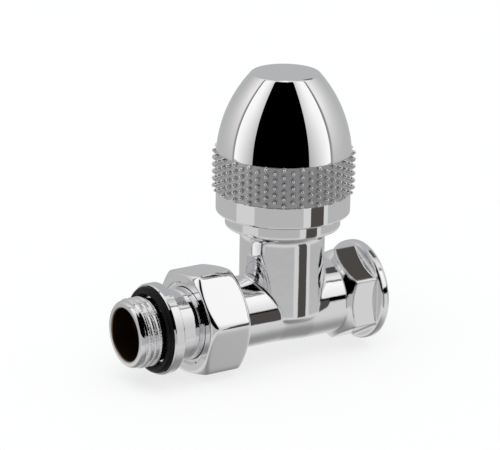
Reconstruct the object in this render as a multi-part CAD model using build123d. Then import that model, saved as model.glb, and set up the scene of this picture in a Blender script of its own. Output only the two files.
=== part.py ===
from build123d import *
import os
from math import cos, radians, sin

# Manual radiator valve, straight pattern, in millimetres.
# The run lies along X and the spindle stands along +Z.
# Every piece is drawn about the spindle axis, then moved so that the pipe port face is at the origin.

# Clearances
THREAD_PLAY = 0.05  # radial, between turning threads and shafts
SLIDE_PLAY = 0.1  # radial, between pieces that are pushed together
END_PLAY = 0.1  # along an axis, between pieces that turn on each other
EDGE = 0.3  # small chamfer on turned edges

# Run of the body, pipe side
PORT_REACH = 29.3  # spindle axis to the pipe port face
PORT_R = 9.3
PORT_DEPTH = 13.0
PORT_CHAMFER = 0.5
PIPE_RUN_R = 11.4
BODY_HEX = 25.0  # across flats
HEX_START = 16.2  # distance of the shoulder's foot from the spindle axis
HEX_CORNER = 0.6  # radius of the worn corners of a cast hexagon
SHOULDER = 2.7
SHOULDER_SINK = 0.4  # the shoulder starts this far inside the tube
COLLAR_PROUD = 0.77  # beyond the hexagon's corners
COLLAR_WIDTH = 2.8
COLLAR_ROUND = 0.6
CHANNEL_R = 7.0
CHANNEL_SPLIT = 10.5  # where the channels leave the seat, from the spindle axis

# Run of the body, radiator side
TAIL_RUN_R = 10.8
RUN_BLEND = 5.0  # half the length in which one tube widens into the other
BOSS_R = 13.1
BOSS_START = 20.8
BOSS_LENGTH = 9.2
SOCKET_R = 9.8
SOCKET_DEPTH = 5.5

# Neck and head of the body
NECK_WALL = 2.7  # round the bonnet's thread
NECK_DROP = 2.0  # the neck's foot lies this far below the run axis
NECK_ROUND = 1.8
HEAD_SHOULDER = 4.5
HEAD_LOW = 25.2
HEAD_HEIGHT = 6.6
HEAD_FILLET = 3.0
HEAD_ROUND = 0.7
CREASE_FILLET = 0.7

# Seat and chamber inside the body
SEAT_TOP = 1.0
SEAT_WEB = 2.5
SEAT_LIP = 0.6
SEAT_LIP_WALL = 1.2
ORIFICE_R = 5.0
POCKET_R = 6.0
POCKET_DEPTH = 6.0
CHAMBER_GAP = 1.2  # round the disc holder
RECESS_GAP = 0.5  # round the bonnet flange
RECESS_DEPTH = 5.6

# Valve disc
DISC_SETBACK = 0.5  # inside the holder's edge
DISC_THICKNESS = 2.0
HOLDER_OVERLAP = 1.2  # beyond the seat lip
HOLDER_HEIGHT = 6.2
HOLDER_RIM = 1.2
DISC_SCREW_R = 1.6
DISC_SCREW_HEAD_R = 2.9
DISC_SCREW_HEAD = 1.0
DISC_SCREW_DEPTH = 1.8
DISC_SCREW_SLOT = 0.8
DISC_SCREW_SLOT_DEPTH = 0.5

# Spindle
LEAD = 1.5  # rise for each turn of the knob
TURNS = 3.0
SPINDLE_R = 4.0
SPINDLE_THREAD_HEIGHT = 1.0
BUTTON_R = 4.2
BUTTON_HEIGHT = 1.5
BUTTON_NECK_R = 2.6
BUTTON_NECK = 2.3
BUTTON_COVER = 1.4  # of the holder, above the button
SPINDLE_THREAD_LENGTH = 13.0
SQUARE = 5.6
SQUARE_RUNOUT = 0.3  # of the square below the knob's socket
SQUARE_LENGTH = 8.0
TAPPED_R = 2.0
TAPPED_DEPTH = 9.0

# Bonnet and gland
LIFT_ROOM = 0.4  # left above the disc holder when the valve is open
BONNET_STEP = 1.35  # from the chamber out to the bonnet's thread
GASKET_THICKNESS = 0.8
GASKET_GAP = 0.15
GASKET_SETBACK = 0.1
BONNET_FLANGE_PROUD = 0.3  # beyond the hexagon's corners
BONNET_FLANGE = 2.5
BONNET_HEX = 22.0
BONNET_HEX_HEIGHT = 5.0
BONNET_NECK_WALL = 1.5
BONNET_NECK = 2.5
O_RING_CORD = 1.6
LOWER_RING_RISE = 1.5  # above the top of the spindle's threaded bore
THREAD_BORE_RISE = 0.5  # above the foot of the bonnet flange
GLAND_GAP = 0.4  # round the upper ring
GLAND_DEPTH = 6.0
GLAND_HEX = 14.0
GLAND_HEX_HEIGHT = 2.5

# Knob
SKIRT_GAP = 0.5  # between the head and the skirt's mouth
SKIRT_RIM = 2.3  # from its mouth out to the knob's outside
SKIRT_OVERLAP = 2.2  # down over the head
SKIRT_HEIGHT = 6.7
SKIRT_ROUND = 0.7
SKIRT_WALL = 1.75
SKIRT_TOP_CHAMFER = 0.25
SKIRT_LIP = 2.4
BAND_PROUD = 0.05  # beyond the skirt
BAND_HEIGHT = 12.2
BAND_COLUMNS = 48
BAND_PHASE = -2.8  # degrees, a full column of studs from +X
STUD_ROWS = 6
STUD_PITCH = 2.16
STUD_R = 0.86
STUD_HEIGHT = 1.25
STUD_TAPER = 12.0  # degrees
STUD_SIDES = 6
STUD_ROOT = 0.4  # sunk in the band
DOME_HEIGHT = 23.5
DOME_WALL = 1.6
DOME_FLAT_R = 9.9
DOME_BULGE = 2.11
DOME_EDGE = 0.35
PLUG_WALL = 1.2
PLUG_LENGTH = 2.0
HUB_WALL = 1.8
HUB_GAP = 0.5  # above the head
HUB_WEB = 2.5
HUB_WEB_RISE = 3.7  # above the boss's foot
HUB_BOSS_R = 7.0
HUB_BOSS_GAP = 0.8  # above the gland nut
HUB_BOSS_CAP = 2.4  # above the spindle's end
HUB_RIBS = 6
HUB_RIB_WIDTH = 1.4
HUB_RIB_HEIGHT = 3.0
WASHER_R = 4.6
WASHER_THICKNESS = 0.6
KNOB_SCREW_R = 1.95
KNOB_SCREW_HEAD_R = 3.6
KNOB_SCREW_HEAD = 2.4
KNOB_SCREW_REACH = 8.0  # below the washer
KNOB_SCREW_SLOT = 0.7
KNOB_SCREW_SLOT_DEPTH = 1.2

# Union nut
NUT_WALL = 1.8  # from its thread to its flats
NUT_OVERHANG = 0.6  # over the start of the body's boss
NUT_LENGTH = 13.9
NUT_TURN = 20.0  # degrees, from flats that face along Y
NUT_CORNER = 0.8  # radius of its worn corners
NUT_CHAMFER = 1.4  # along the axis
NUT_CHAMFER_DROP = 2.3  # off the corners, towards the axis
NUT_LIP = 2.4
NUT_LIP_STEP = 0.8

# Union tail
TAIL_NECK_SHOWN = 7.5  # between the nut and the flange
TAIL_BORE_R = 7.86
TAIL_BORE_DEPTH = 8.0
TAIL_THREAD_R = 10.48
TAIL_LEAD_DROP = 0.48  # of the plain lead below the crests
TAIL_END_CHAMFER = 0.9
THREAD_CHAMFER = 0.5
TAIL_LEAD = 1.7
TAIL_THREAD_LENGTH = 5.6
TAIL_RELIEF_DROP = 1.18  # below the crests
TAIL_RELIEF = 1.8
TAIL_FLANGE_RIM = 0.7  # round the seal
TAIL_FLANGE = 3.3
TAIL_FLANGE_CHAMFER = 0.5
SEAL_CORD = 2.6
SEAL_GAP = 1.0  # round the relief groove
SEAL_RECESS = 1.0
SEAL_LAND = 0.1
TAIL_NECK_R = 10.75
KEY_HEX = 13.0
KEY_DEPTH = 8.0
SPLIT_RING_WIDTH = 1.6
SPLIT_RING_DEPTH = 0.85
SPLIT_RING_SETBACK = 0.5  # inside the boss's outside
SPLIT_RING_GAP = 1.5
NOSE_RING_SETBACK = 1.5
NOSE_GROOVE_DEPTH = 1.5
NOSE_PLAY = 0.5  # left before the socket's floor

# Radii that follow from the sizes above
HALF_CORNER = cos(radians(30))  # a hexagon's inner radius over its outer one
COLLAR_R = BODY_HEX / 2 / HALF_CORNER + COLLAR_PROUD
HOLDER_R = ORIFICE_R + SEAT_LIP_WALL + HOLDER_OVERLAP
DISC_R = HOLDER_R - DISC_SETBACK
CHAMBER_R = HOLDER_R + CHAMBER_GAP
BONNET_THREAD_R = CHAMBER_R + BONNET_STEP
NECK_R = BONNET_THREAD_R + THREAD_PLAY + NECK_WALL
HEAD_R = NECK_R + HEAD_SHOULDER
BONNET_FLANGE_R = BONNET_HEX / 2 / HALF_CORNER + BONNET_FLANGE_PROUD
GASKET_INNER_R = BONNET_THREAD_R + GASKET_GAP
GASKET_OUTER_R = BONNET_FLANGE_R - GASKET_SETBACK
RECESS_R = BONNET_FLANGE_R + RECESS_GAP
SPINDLE_THREAD_R = SPINDLE_R + SPINDLE_THREAD_HEIGHT
GLAND_R = SPINDLE_R + O_RING_CORD + GLAND_GAP
BONNET_NECK_R = GLAND_R + BONNET_NECK_WALL
SKIRT_MOUTH_R = HEAD_R + SKIRT_GAP
SKIRT_R = SKIRT_MOUTH_R + SKIRT_RIM
SKIRT_INNER_R = SKIRT_R - SKIRT_WALL
HUB_R = SKIRT_INNER_R - THREAD_PLAY
BAND_R = SKIRT_R + BAND_PROUD
DOME_R = BAND_R
NUT_THREAD_R = BOSS_R + SLIDE_PLAY
NUT_HEX = 2 * (NUT_THREAD_R + NUT_WALL)
SPLIT_RING_R = BOSS_R - SPLIT_RING_SETBACK
TAIL_LEAD_R = TAIL_THREAD_R - TAIL_LEAD_DROP
TAIL_RELIEF_R = TAIL_THREAD_R - TAIL_RELIEF_DROP
SEAL_R = TAIL_RELIEF_R + SEAL_GAP + SEAL_CORD
TAIL_FLANGE_R = SEAL_R + TAIL_FLANGE_RIM

# Heights and stations that follow from the sizes above
LIFT = LEAD * TURNS
SEAT_FACE = SEAT_TOP + SEAT_LIP
HOLDER_LOW = SEAT_FACE + DISC_THICKNESS - HOLDER_RIM
HOLDER_TOP = HOLDER_LOW + HOLDER_HEIGHT
CHAMBER_TOP = HOLDER_TOP + LIFT - END_PLAY
BONNET_LOW = HOLDER_TOP + LIFT + LIFT_ROOM
HEAD_TOP = HEAD_LOW + HEAD_HEIGHT
RECESS_LOW = HEAD_TOP - RECESS_DEPTH
BONNET_FLANGE_LOW = RECESS_LOW + GASKET_THICKNESS
BONNET_HEX_LOW = BONNET_FLANGE_LOW + BONNET_FLANGE
BONNET_NECK_LOW = BONNET_HEX_LOW + BONNET_HEX_HEIGHT
BONNET_TOP = BONNET_NECK_LOW + BONNET_NECK
THREAD_BORE_TOP = BONNET_FLANGE_LOW + THREAD_BORE_RISE
GLAND_LOW = BONNET_TOP - GLAND_DEPTH
BUTTON_TOP = HOLDER_TOP - BUTTON_COVER
BUTTON_LOW = BUTTON_TOP - BUTTON_HEIGHT
THREAD_LOW = BUTTON_TOP + BUTTON_NECK
THREAD_TOP = THREAD_LOW + SPINDLE_THREAD_LENGTH
HUB_BOSS_LOW = BONNET_TOP + GLAND_HEX_HEIGHT + HUB_BOSS_GAP
SQUARE_LOW = HUB_BOSS_LOW - SQUARE_RUNOUT
SQUARE_TOP = SQUARE_LOW + SQUARE_LENGTH
HUB_BOSS_TOP = SQUARE_TOP + HUB_BOSS_CAP
HUB_WEB_LOW = HUB_BOSS_LOW + HUB_WEB_RISE
HUB_LOW = HEAD_TOP + HUB_GAP
SKIRT_LOW = HEAD_TOP - SKIRT_OVERLAP
BAND_LOW = SKIRT_LOW + SKIRT_HEIGHT
DOME_LOW = BAND_LOW + BAND_HEIGHT
DOME_TOP = DOME_LOW + DOME_HEIGHT
RUN_END = BOSS_START + BOSS_LENGTH
NUT_NEAR = BOSS_START - NUT_OVERHANG
NUT_FAR = NUT_NEAR + NUT_LENGTH
FLANGE_FACE = NUT_FAR + TAIL_NECK_SHOWN + TAIL_FLANGE
TAIL_END = FLANGE_FACE + TAIL_RELIEF + TAIL_THREAD_LENGTH + TAIL_LEAD


def bar(radius, start, end):
    """A round bar along X."""
    return Pos(start, 0, 0) * extrude(Plane.YZ * Circle(radius), end - start)


def post(radius, low, high):
    """A round bar along Z."""
    return Pos(0, 0, low) * extrude(Circle(radius), high - low)


def hex_bar(across, start, end, turn=0.0, corner=0.0):
    """Hexagonal bar along the run from start to end, turned about it, with rounded corners."""
    flats = RegularPolygon(across / 2, 6, major_radius=False, rotation=90)
    if corner:
        flats = fillet(flats.vertices(), corner)
    return Pos(start, 0, 0) * Rot(turn, 0, 0) * extrude(Plane.YZ * flats, end - start)


def hex_post(across, low, high):
    """A hexagonal bar along Z."""
    flats = RegularPolygon(across / 2, 6, major_radius=False)
    return Pos(0, 0, low) * extrude(flats, high - low)


def turned(outline, rounds=(), upright=True):
    """Revolves a sharp outline of (radius, height), after rounding the corners in rounds."""
    face = make_face(Polyline(*outline, close=True))
    for corner, radius in rounds:
        vertex = face.vertices().sort_by_distance((corner[0], corner[1], 0))[0]
        face = fillet(vertex, radius)
    solid = revolve(Plane.XZ * face, Axis.Z)
    return solid if upright else Rot(0, 90, 0) * solid


def cord_ring(radius, cord, height=0.0):
    """A rubber ring of round cord, with its outer radius given."""
    return Pos(0, 0, height) * Torus(radius - cord / 2, cord / 2)


def body_run():
    """Outside of the run: plain tube, hexagon with a rounded shoulder, and end collar."""
    tube = turned(
        [
            (0, -RUN_END),
            (BOSS_R - EDGE, -RUN_END),
            (BOSS_R, -RUN_END + EDGE),
            (BOSS_R, -BOSS_START),
            (TAIL_RUN_R, -BOSS_START),
            (TAIL_RUN_R, -RUN_BLEND),
            (PIPE_RUN_R, RUN_BLEND),
            (PIPE_RUN_R, HEX_START + SHOULDER),
            (0, HEX_START + SHOULDER),
        ],
        upright=False,
    )
    collar_start = PORT_REACH - COLLAR_WIDTH
    corner_r = BODY_HEX / 2 / HALF_CORNER
    turned_hex = turned(
        [
            (0, HEX_START),
            (PIPE_RUN_R - SHOULDER_SINK, HEX_START),
            (corner_r, HEX_START + SHOULDER),
            (corner_r, collar_start + COLLAR_ROUND),
            (0, collar_start + COLLAR_ROUND),
        ],
        rounds=[((corner_r, HEX_START + SHOULDER), SHOULDER / 2)],
        upright=False,
    )
    blank = hex_bar(BODY_HEX, HEX_START, collar_start + COLLAR_ROUND, corner=HEX_CORNER)
    hexagon = blank & turned_hex
    collar = turned(
        [
            (0, collar_start),
            (COLLAR_R, collar_start),
            (COLLAR_R, PORT_REACH),
            (0, PORT_REACH),
        ],
        rounds=[((COLLAR_R, collar_start), COLLAR_ROUND), ((COLLAR_R, PORT_REACH), COLLAR_ROUND)],
        upright=False,
    )
    return tube + hexagon + collar


def body_neck():
    """Outside of the neck and of the head that holds the bonnet."""
    return turned(
        [
            (0, -NECK_DROP),
            (NECK_R, -NECK_DROP),
            (NECK_R, HEAD_LOW),
            (HEAD_R, HEAD_LOW),
            (HEAD_R, HEAD_TOP),
            (0, HEAD_TOP),
        ],
        rounds=[
            ((NECK_R, -NECK_DROP), NECK_ROUND),
            ((NECK_R, HEAD_LOW), HEAD_FILLET),
            ((HEAD_R, HEAD_LOW), HEAD_ROUND),
            ((HEAD_R, HEAD_TOP), HEAD_ROUND),
        ],
    )


def body_passages():
    """Water way: pipe port, low channel, seat, chamber, high channel and union socket."""
    port = bar(PORT_R, PORT_REACH - PORT_DEPTH, PORT_REACH)
    mouth = turned(
        [
            (0, PORT_REACH - PORT_CHAMFER),
            (PORT_R, PORT_REACH - PORT_CHAMFER),
            (PORT_R + PORT_CHAMFER, PORT_REACH),
            (0, PORT_REACH),
        ],
        upright=False,
    )
    web_low = SEAT_TOP - SEAT_WEB
    low_half = Pos(0, 0, web_low) * Box(
        4 * CHANNEL_R, 4 * CHANNEL_R, 4 * CHANNEL_R, align=(Align.CENTER, Align.CENTER, Align.MAX)
    )
    high_half = Pos(0, 0, SEAT_TOP) * Box(
        4 * CHANNEL_R, 4 * CHANNEL_R, 4 * CHANNEL_R, align=(Align.CENTER, Align.CENTER, Align.MIN)
    )
    low_channel = bar(CHANNEL_R, CHANNEL_SPLIT, PORT_REACH - PORT_DEPTH)
    low_channel += bar(CHANNEL_R, 0, CHANNEL_SPLIT) & low_half
    high_channel = bar(CHANNEL_R, -RUN_END, -CHANNEL_SPLIT)
    high_channel += bar(CHANNEL_R, -CHANNEL_SPLIT, 0) & high_half
    pocket = post(POCKET_R, web_low - POCKET_DEPTH, web_low)
    orifice = post(ORIFICE_R, web_low, SEAT_FACE)
    chamber = post(CHAMBER_R, SEAT_TOP, CHAMBER_TOP) - post(ORIFICE_R + SEAT_LIP_WALL, SEAT_TOP, SEAT_FACE)
    bonnet_bore = post(BONNET_THREAD_R + THREAD_PLAY, CHAMBER_TOP, RECESS_LOW)
    recess = post(RECESS_R, RECESS_LOW, HEAD_TOP)
    socket = bar(SOCKET_R, -RUN_END, -RUN_END + SOCKET_DEPTH)
    water = port + mouth + low_channel + pocket + orifice
    return [water, chamber + bonnet_bore + recess, high_channel + socket]


def valve_body():
    outside = body_run() + body_neck()
    creases = outside.edges().filter_by(lambda edge: is_crease(edge))
    outside = fillet(creases, CREASE_FILLET)
    for passage in body_passages():
        outside = outside - passage
    return outside


def is_crease(edge):
    """True for the curves where the neck runs into the two tubes, above the neck's foot."""
    middle = edge @ 0.5
    inside_neck = abs(middle.X) < NECK_R and HEAD_LOW > middle.Z > 0
    on_neck = abs((middle.X**2 + middle.Y**2) ** 0.5 - NECK_R) < 0.05
    return inside_neck and on_neck and edge.geom_type != GeomType.CIRCLE


def disc_holder():
    """Cup that carries the soft disc, with a side slot for the spindle's button."""
    cup = post(HOLDER_R, HOLDER_LOW, HOLDER_TOP)
    cup -= post(DISC_R, HOLDER_LOW, HOLDER_LOW + HOLDER_RIM)
    button_slot = slot_from_side(BUTTON_R, BUTTON_LOW - END_PLAY / 2, BUTTON_TOP + END_PLAY / 2)
    neck_slot = slot_from_side(BUTTON_NECK_R, BUTTON_TOP, HOLDER_TOP)
    screw_hole = post(DISC_SCREW_R, HOLDER_LOW, HOLDER_LOW + HOLDER_RIM + DISC_SCREW_DEPTH)
    return cup - button_slot - neck_slot - screw_hole


def slot_from_side(radius, low, high):
    """A round pocket with a straight way out towards +X."""
    room = radius + THREAD_PLAY
    way_out = Pos(0, 0, low) * Box(
        2 * HOLDER_R, 2 * room, high - low, align=(Align.MIN, Align.CENTER, Align.MIN)
    )
    return post(room, low, high) + way_out


def disc_gasket():
    """Soft disc that closes on the seat lip."""
    disc = post(DISC_R, SEAT_FACE, SEAT_FACE + DISC_THICKNESS)
    return disc - post(DISC_SCREW_R, SEAT_FACE, SEAT_FACE + DISC_THICKNESS)


def disc_screw():
    """Screw that holds the soft disc in its cup, with its head inside the seat's opening."""
    head = post(DISC_SCREW_HEAD_R, SEAT_FACE - DISC_SCREW_HEAD, SEAT_FACE)
    shank = post(DISC_SCREW_R, SEAT_FACE, SEAT_FACE + DISC_THICKNESS + DISC_SCREW_DEPTH)
    driver_slot = Pos(0, 0, SEAT_FACE - DISC_SCREW_HEAD) * Box(
        2 * DISC_SCREW_HEAD_R, DISC_SCREW_SLOT, DISC_SCREW_SLOT_DEPTH,
        align=(Align.CENTER, Align.CENTER, Align.MIN),
    )
    return head + shank - driver_slot


def spindle():
    """Button foot, screw thread, shank and knob square, turned from one bar."""
    stem = turned(
        [
            (0, BUTTON_LOW),
            (BUTTON_R, BUTTON_LOW),
            (BUTTON_R, BUTTON_TOP),
            (BUTTON_NECK_R, BUTTON_TOP),
            (BUTTON_NECK_R, THREAD_LOW),
            (SPINDLE_THREAD_R - EDGE, THREAD_LOW),
            (SPINDLE_THREAD_R, THREAD_LOW + EDGE),
            (SPINDLE_THREAD_R, THREAD_TOP - EDGE),
            (SPINDLE_THREAD_R - EDGE, THREAD_TOP),
            (SPINDLE_R, THREAD_TOP),
            (SPINDLE_R, SQUARE_TOP - EDGE),
            (SPINDLE_R - EDGE, SQUARE_TOP),
            (0, SQUARE_TOP),
        ]
    )
    around = Pos(0, 0, SQUARE_LOW) * Box(
        4 * SQUARE, 4 * SQUARE, 2 * SQUARE_LENGTH, align=(Align.CENTER, Align.CENTER, Align.MIN)
    )
    square = Pos(0, 0, SQUARE_LOW) * Box(
        SQUARE, SQUARE, SQUARE_LENGTH, align=(Align.CENTER, Align.CENTER, Align.MIN)
    )
    stem = stem - (around - square)
    return stem - post(TAPPED_R, SQUARE_TOP - TAPPED_DEPTH, SQUARE_TOP)


def bonnet():
    """Screwed-in headwork with the spindle's thread, two ring grooves and a gland bore."""
    shell = post(BONNET_THREAD_R, BONNET_LOW, BONNET_FLANGE_LOW)
    shell += post(BONNET_FLANGE_R, BONNET_FLANGE_LOW, BONNET_HEX_LOW)
    shell += hex_post(BONNET_HEX, BONNET_HEX_LOW, BONNET_NECK_LOW)
    shell += post(BONNET_NECK_R, BONNET_NECK_LOW, BONNET_TOP)
    threaded = post(SPINDLE_THREAD_R + THREAD_PLAY, BONNET_LOW, THREAD_BORE_TOP)
    plain = post(SPINDLE_R + THREAD_PLAY, THREAD_BORE_TOP, BONNET_TOP)
    ring_low = THREAD_BORE_TOP + LOWER_RING_RISE - O_RING_CORD / 2
    groove = post(SPINDLE_R + O_RING_CORD, ring_low, ring_low + O_RING_CORD)
    gland_bore = post(GLAND_R, GLAND_LOW, BONNET_TOP)
    return shell - threaded - plain - groove - gland_bore


def bonnet_gasket():
    """Flat ring between the body's head and the bonnet flange."""
    ring = post(GASKET_OUTER_R, RECESS_LOW, BONNET_FLANGE_LOW)
    return ring - post(GASKET_INNER_R, RECESS_LOW, BONNET_FLANGE_LOW)


def spindle_ring(height):
    """Rubber ring round the spindle's shank."""
    return cord_ring(SPINDLE_R + O_RING_CORD, O_RING_CORD - THREAD_PLAY, height)


def gland_nut():
    """Screwed plug that keeps the upper ring in the bonnet."""
    plug_low = GLAND_LOW + O_RING_CORD + END_PLAY
    plug = post(GLAND_R - THREAD_PLAY, plug_low, BONNET_TOP)
    plug += hex_post(GLAND_HEX, BONNET_TOP, BONNET_TOP + GLAND_HEX_HEIGHT)
    return plug - post(SPINDLE_R + THREAD_PLAY, plug_low, BONNET_TOP + GLAND_HEX_HEIGHT)


def handle_hub():
    """Moulded core of the knob: barrel, web with ribs, and a boss with a square socket."""
    barrel = post(HUB_R, HUB_LOW, DOME_LOW) - post(HUB_R - HUB_WALL, HUB_LOW, DOME_LOW)
    web_top = HUB_WEB_LOW + HUB_WEB
    web = post(HUB_R - HUB_WALL / 2, HUB_WEB_LOW, web_top)
    boss = post(HUB_BOSS_R, HUB_BOSS_LOW, HUB_BOSS_TOP)
    rib_reach = HUB_R - HUB_WALL / 2
    rib = Pos(0, 0, HUB_WEB_LOW) * Box(
        rib_reach, HUB_RIB_WIDTH, HUB_RIB_HEIGHT, align=(Align.MIN, Align.CENTER, Align.MAX)
    )
    hub = barrel + web + boss
    for step in range(HUB_RIBS):
        hub += Rot(0, 0, 360 / HUB_RIBS * step) * rib
    socket = Pos(0, 0, HUB_BOSS_LOW) * Box(
        SQUARE + 2 * THREAD_PLAY,
        SQUARE + 2 * THREAD_PLAY,
        SQUARE_TOP - HUB_BOSS_LOW + SLIDE_PLAY,
        align=(Align.CENTER, Align.CENTER, Align.MIN),
    )
    screw_hole = post(KNOB_SCREW_R + SLIDE_PLAY, SQUARE_TOP, HUB_BOSS_TOP)
    return hub - socket - screw_hole


def handle_skirt():
    """Plated sleeve at the foot of the knob, over the body's head."""
    sleeve = turned(
        [
            (SKIRT_MOUTH_R, SKIRT_LOW),
            (SKIRT_R, SKIRT_LOW),
            (SKIRT_R, BAND_LOW - SKIRT_TOP_CHAMFER),
            (SKIRT_R - SKIRT_TOP_CHAMFER, BAND_LOW),
            (SKIRT_INNER_R, BAND_LOW),
            (SKIRT_INNER_R, SKIRT_LOW + SKIRT_LIP),
            (SKIRT_MOUTH_R, SKIRT_LOW + SKIRT_LIP),
        ],
        rounds=[((SKIRT_R, SKIRT_LOW), SKIRT_ROUND)],
    )
    return sleeve


def stud():
    """One grip stud, a tapered six-sided peg that stands out along +X from the band."""
    outline = Plane.YZ * RegularPolygon(STUD_R, STUD_SIDES)
    peg = extrude(outline, STUD_HEIGHT + STUD_ROOT, taper=STUD_TAPER)
    return Pos(BAND_R - STUD_ROOT, 0, 0) * peg


def grip_band():
    """Sleeve with staggered columns of studs, six and five in turn."""
    inner_r = HUB_R + SLIDE_PLAY
    band = post(BAND_R, BAND_LOW, DOME_LOW) - post(inner_r, BAND_LOW, DOME_LOW)
    middle = (BAND_LOW + DOME_LOW) / 2
    peg = stud()
    pegs = []
    for column in range(BAND_COLUMNS):
        count = STUD_ROWS - column % 2
        turn = Rot(0, 0, BAND_PHASE + 360 / BAND_COLUMNS * column)
        for row in range(count):
            height = middle + (row - (count - 1) / 2) * STUD_PITCH
            pegs.append(turn * Pos(0, 0, height) * peg)
    return band.fuse(*pegs)


def handle_dome():
    """Plated cap of the knob, a domed shell with a flat top and a ring that plugs into the hub."""
    wall_r = DOME_R - DOME_WALL
    inner_flat_r = DOME_FLAT_R - DOME_WALL
    slope = SagittaArc((DOME_R, DOME_LOW), (DOME_FLAT_R, DOME_TOP), -DOME_BULGE)
    inner_slope = SagittaArc((wall_r, DOME_LOW), (inner_flat_r, DOME_TOP - DOME_WALL), -DOME_BULGE)
    outer = [Line((0, DOME_LOW), (DOME_R, DOME_LOW)), slope]
    outer += [Line((DOME_FLAT_R, DOME_TOP), (0, DOME_TOP)), Line((0, DOME_TOP), (0, DOME_LOW))]
    inner_top = DOME_TOP - DOME_WALL
    inner = [Line((0, DOME_LOW), (wall_r, DOME_LOW)), inner_slope]
    inner += [Line((inner_flat_r, inner_top), (0, inner_top)), Line((0, inner_top), (0, DOME_LOW))]
    outer_face = make_face(outer)
    rim = outer_face.vertices().sort_by_distance((DOME_FLAT_R, DOME_TOP, 0))[0]
    outer_face = fillet(rim, DOME_EDGE)
    dome = revolve(Plane.XZ * outer_face, Axis.Z) - revolve(Plane.XZ * make_face(inner), Axis.Z)
    floor_r = HUB_R - HUB_WALL - SLIDE_PLAY
    flange = post(wall_r + DOME_WALL / 2, DOME_LOW, DOME_LOW + DOME_WALL)
    plug = post(floor_r, DOME_LOW - PLUG_LENGTH, DOME_LOW + DOME_WALL)
    opening = post(floor_r - PLUG_WALL, DOME_LOW - PLUG_LENGTH, DOME_LOW + DOME_WALL)
    return dome + flange + plug - opening


def handle_washer():
    ring = post(WASHER_R, HUB_BOSS_TOP, HUB_BOSS_TOP + WASHER_THICKNESS)
    return ring - post(KNOB_SCREW_R + SLIDE_PLAY, HUB_BOSS_TOP, HUB_BOSS_TOP + WASHER_THICKNESS)


def handle_screw():
    """Pan-head screw with a cross recess, from the hub into the spindle's square."""
    seat = HUB_BOSS_TOP + WASHER_THICKNESS
    screw = turned(
        [
            (0, seat - KNOB_SCREW_REACH),
            (KNOB_SCREW_R, seat - KNOB_SCREW_REACH),
            (KNOB_SCREW_R, seat),
            (KNOB_SCREW_HEAD_R, seat),
            (KNOB_SCREW_HEAD_R, seat + KNOB_SCREW_HEAD),
            (0, seat + KNOB_SCREW_HEAD),
        ],
        rounds=[((KNOB_SCREW_HEAD_R, seat + KNOB_SCREW_HEAD), KNOB_SCREW_HEAD / 2)],
    )
    blade = Pos(0, 0, seat + KNOB_SCREW_HEAD) * Box(
        KNOB_SCREW_HEAD_R, KNOB_SCREW_SLOT, 2 * KNOB_SCREW_SLOT_DEPTH,
        align=(Align.CENTER, Align.CENTER, Align.CENTER),
    )
    return screw - blade - Rot(0, 0, 90) * blade


def union_nut():
    """Hexagon nut, chamfered both ends, with an inner lip that draws the tail's ring."""
    corner_r = NUT_HEX / 2 / HALF_CORNER
    face_r = corner_r - NUT_CHAMFER_DROP
    blank = hex_bar(NUT_HEX, -NUT_FAR, -NUT_NEAR, NUT_TURN, NUT_CORNER)
    lathe = turned(
        [
            (0, -NUT_FAR),
            (face_r, -NUT_FAR),
            (corner_r, -NUT_FAR + NUT_CHAMFER),
            (corner_r, -NUT_NEAR - NUT_CHAMFER),
            (face_r, -NUT_NEAR),
            (0, -NUT_NEAR),
        ],
        rounds=[
            ((corner_r, -NUT_FAR + NUT_CHAMFER), NUT_CORNER),
            ((corner_r, -NUT_NEAR - NUT_CHAMFER), NUT_CORNER),
        ],
        upright=False,
    )
    lip_r = TAIL_NECK_R + 2 * SLIDE_PLAY
    step_r = lip_r + NUT_LIP_STEP
    lip_bore = bar(lip_r, -NUT_FAR, -NUT_NEAR)
    lip_step = turned(
        [
            (0, -NUT_FAR),
            (step_r + NUT_LIP_STEP, -NUT_FAR),
            (step_r, -NUT_FAR + NUT_LIP_STEP),
            (0, -NUT_FAR + NUT_LIP_STEP),
        ],
        upright=False,
    )
    thread_bore = bar(NUT_THREAD_R, -NUT_FAR + NUT_LIP, -NUT_NEAR)
    return (blank & lathe) - lip_bore - lip_step - thread_bore


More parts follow.
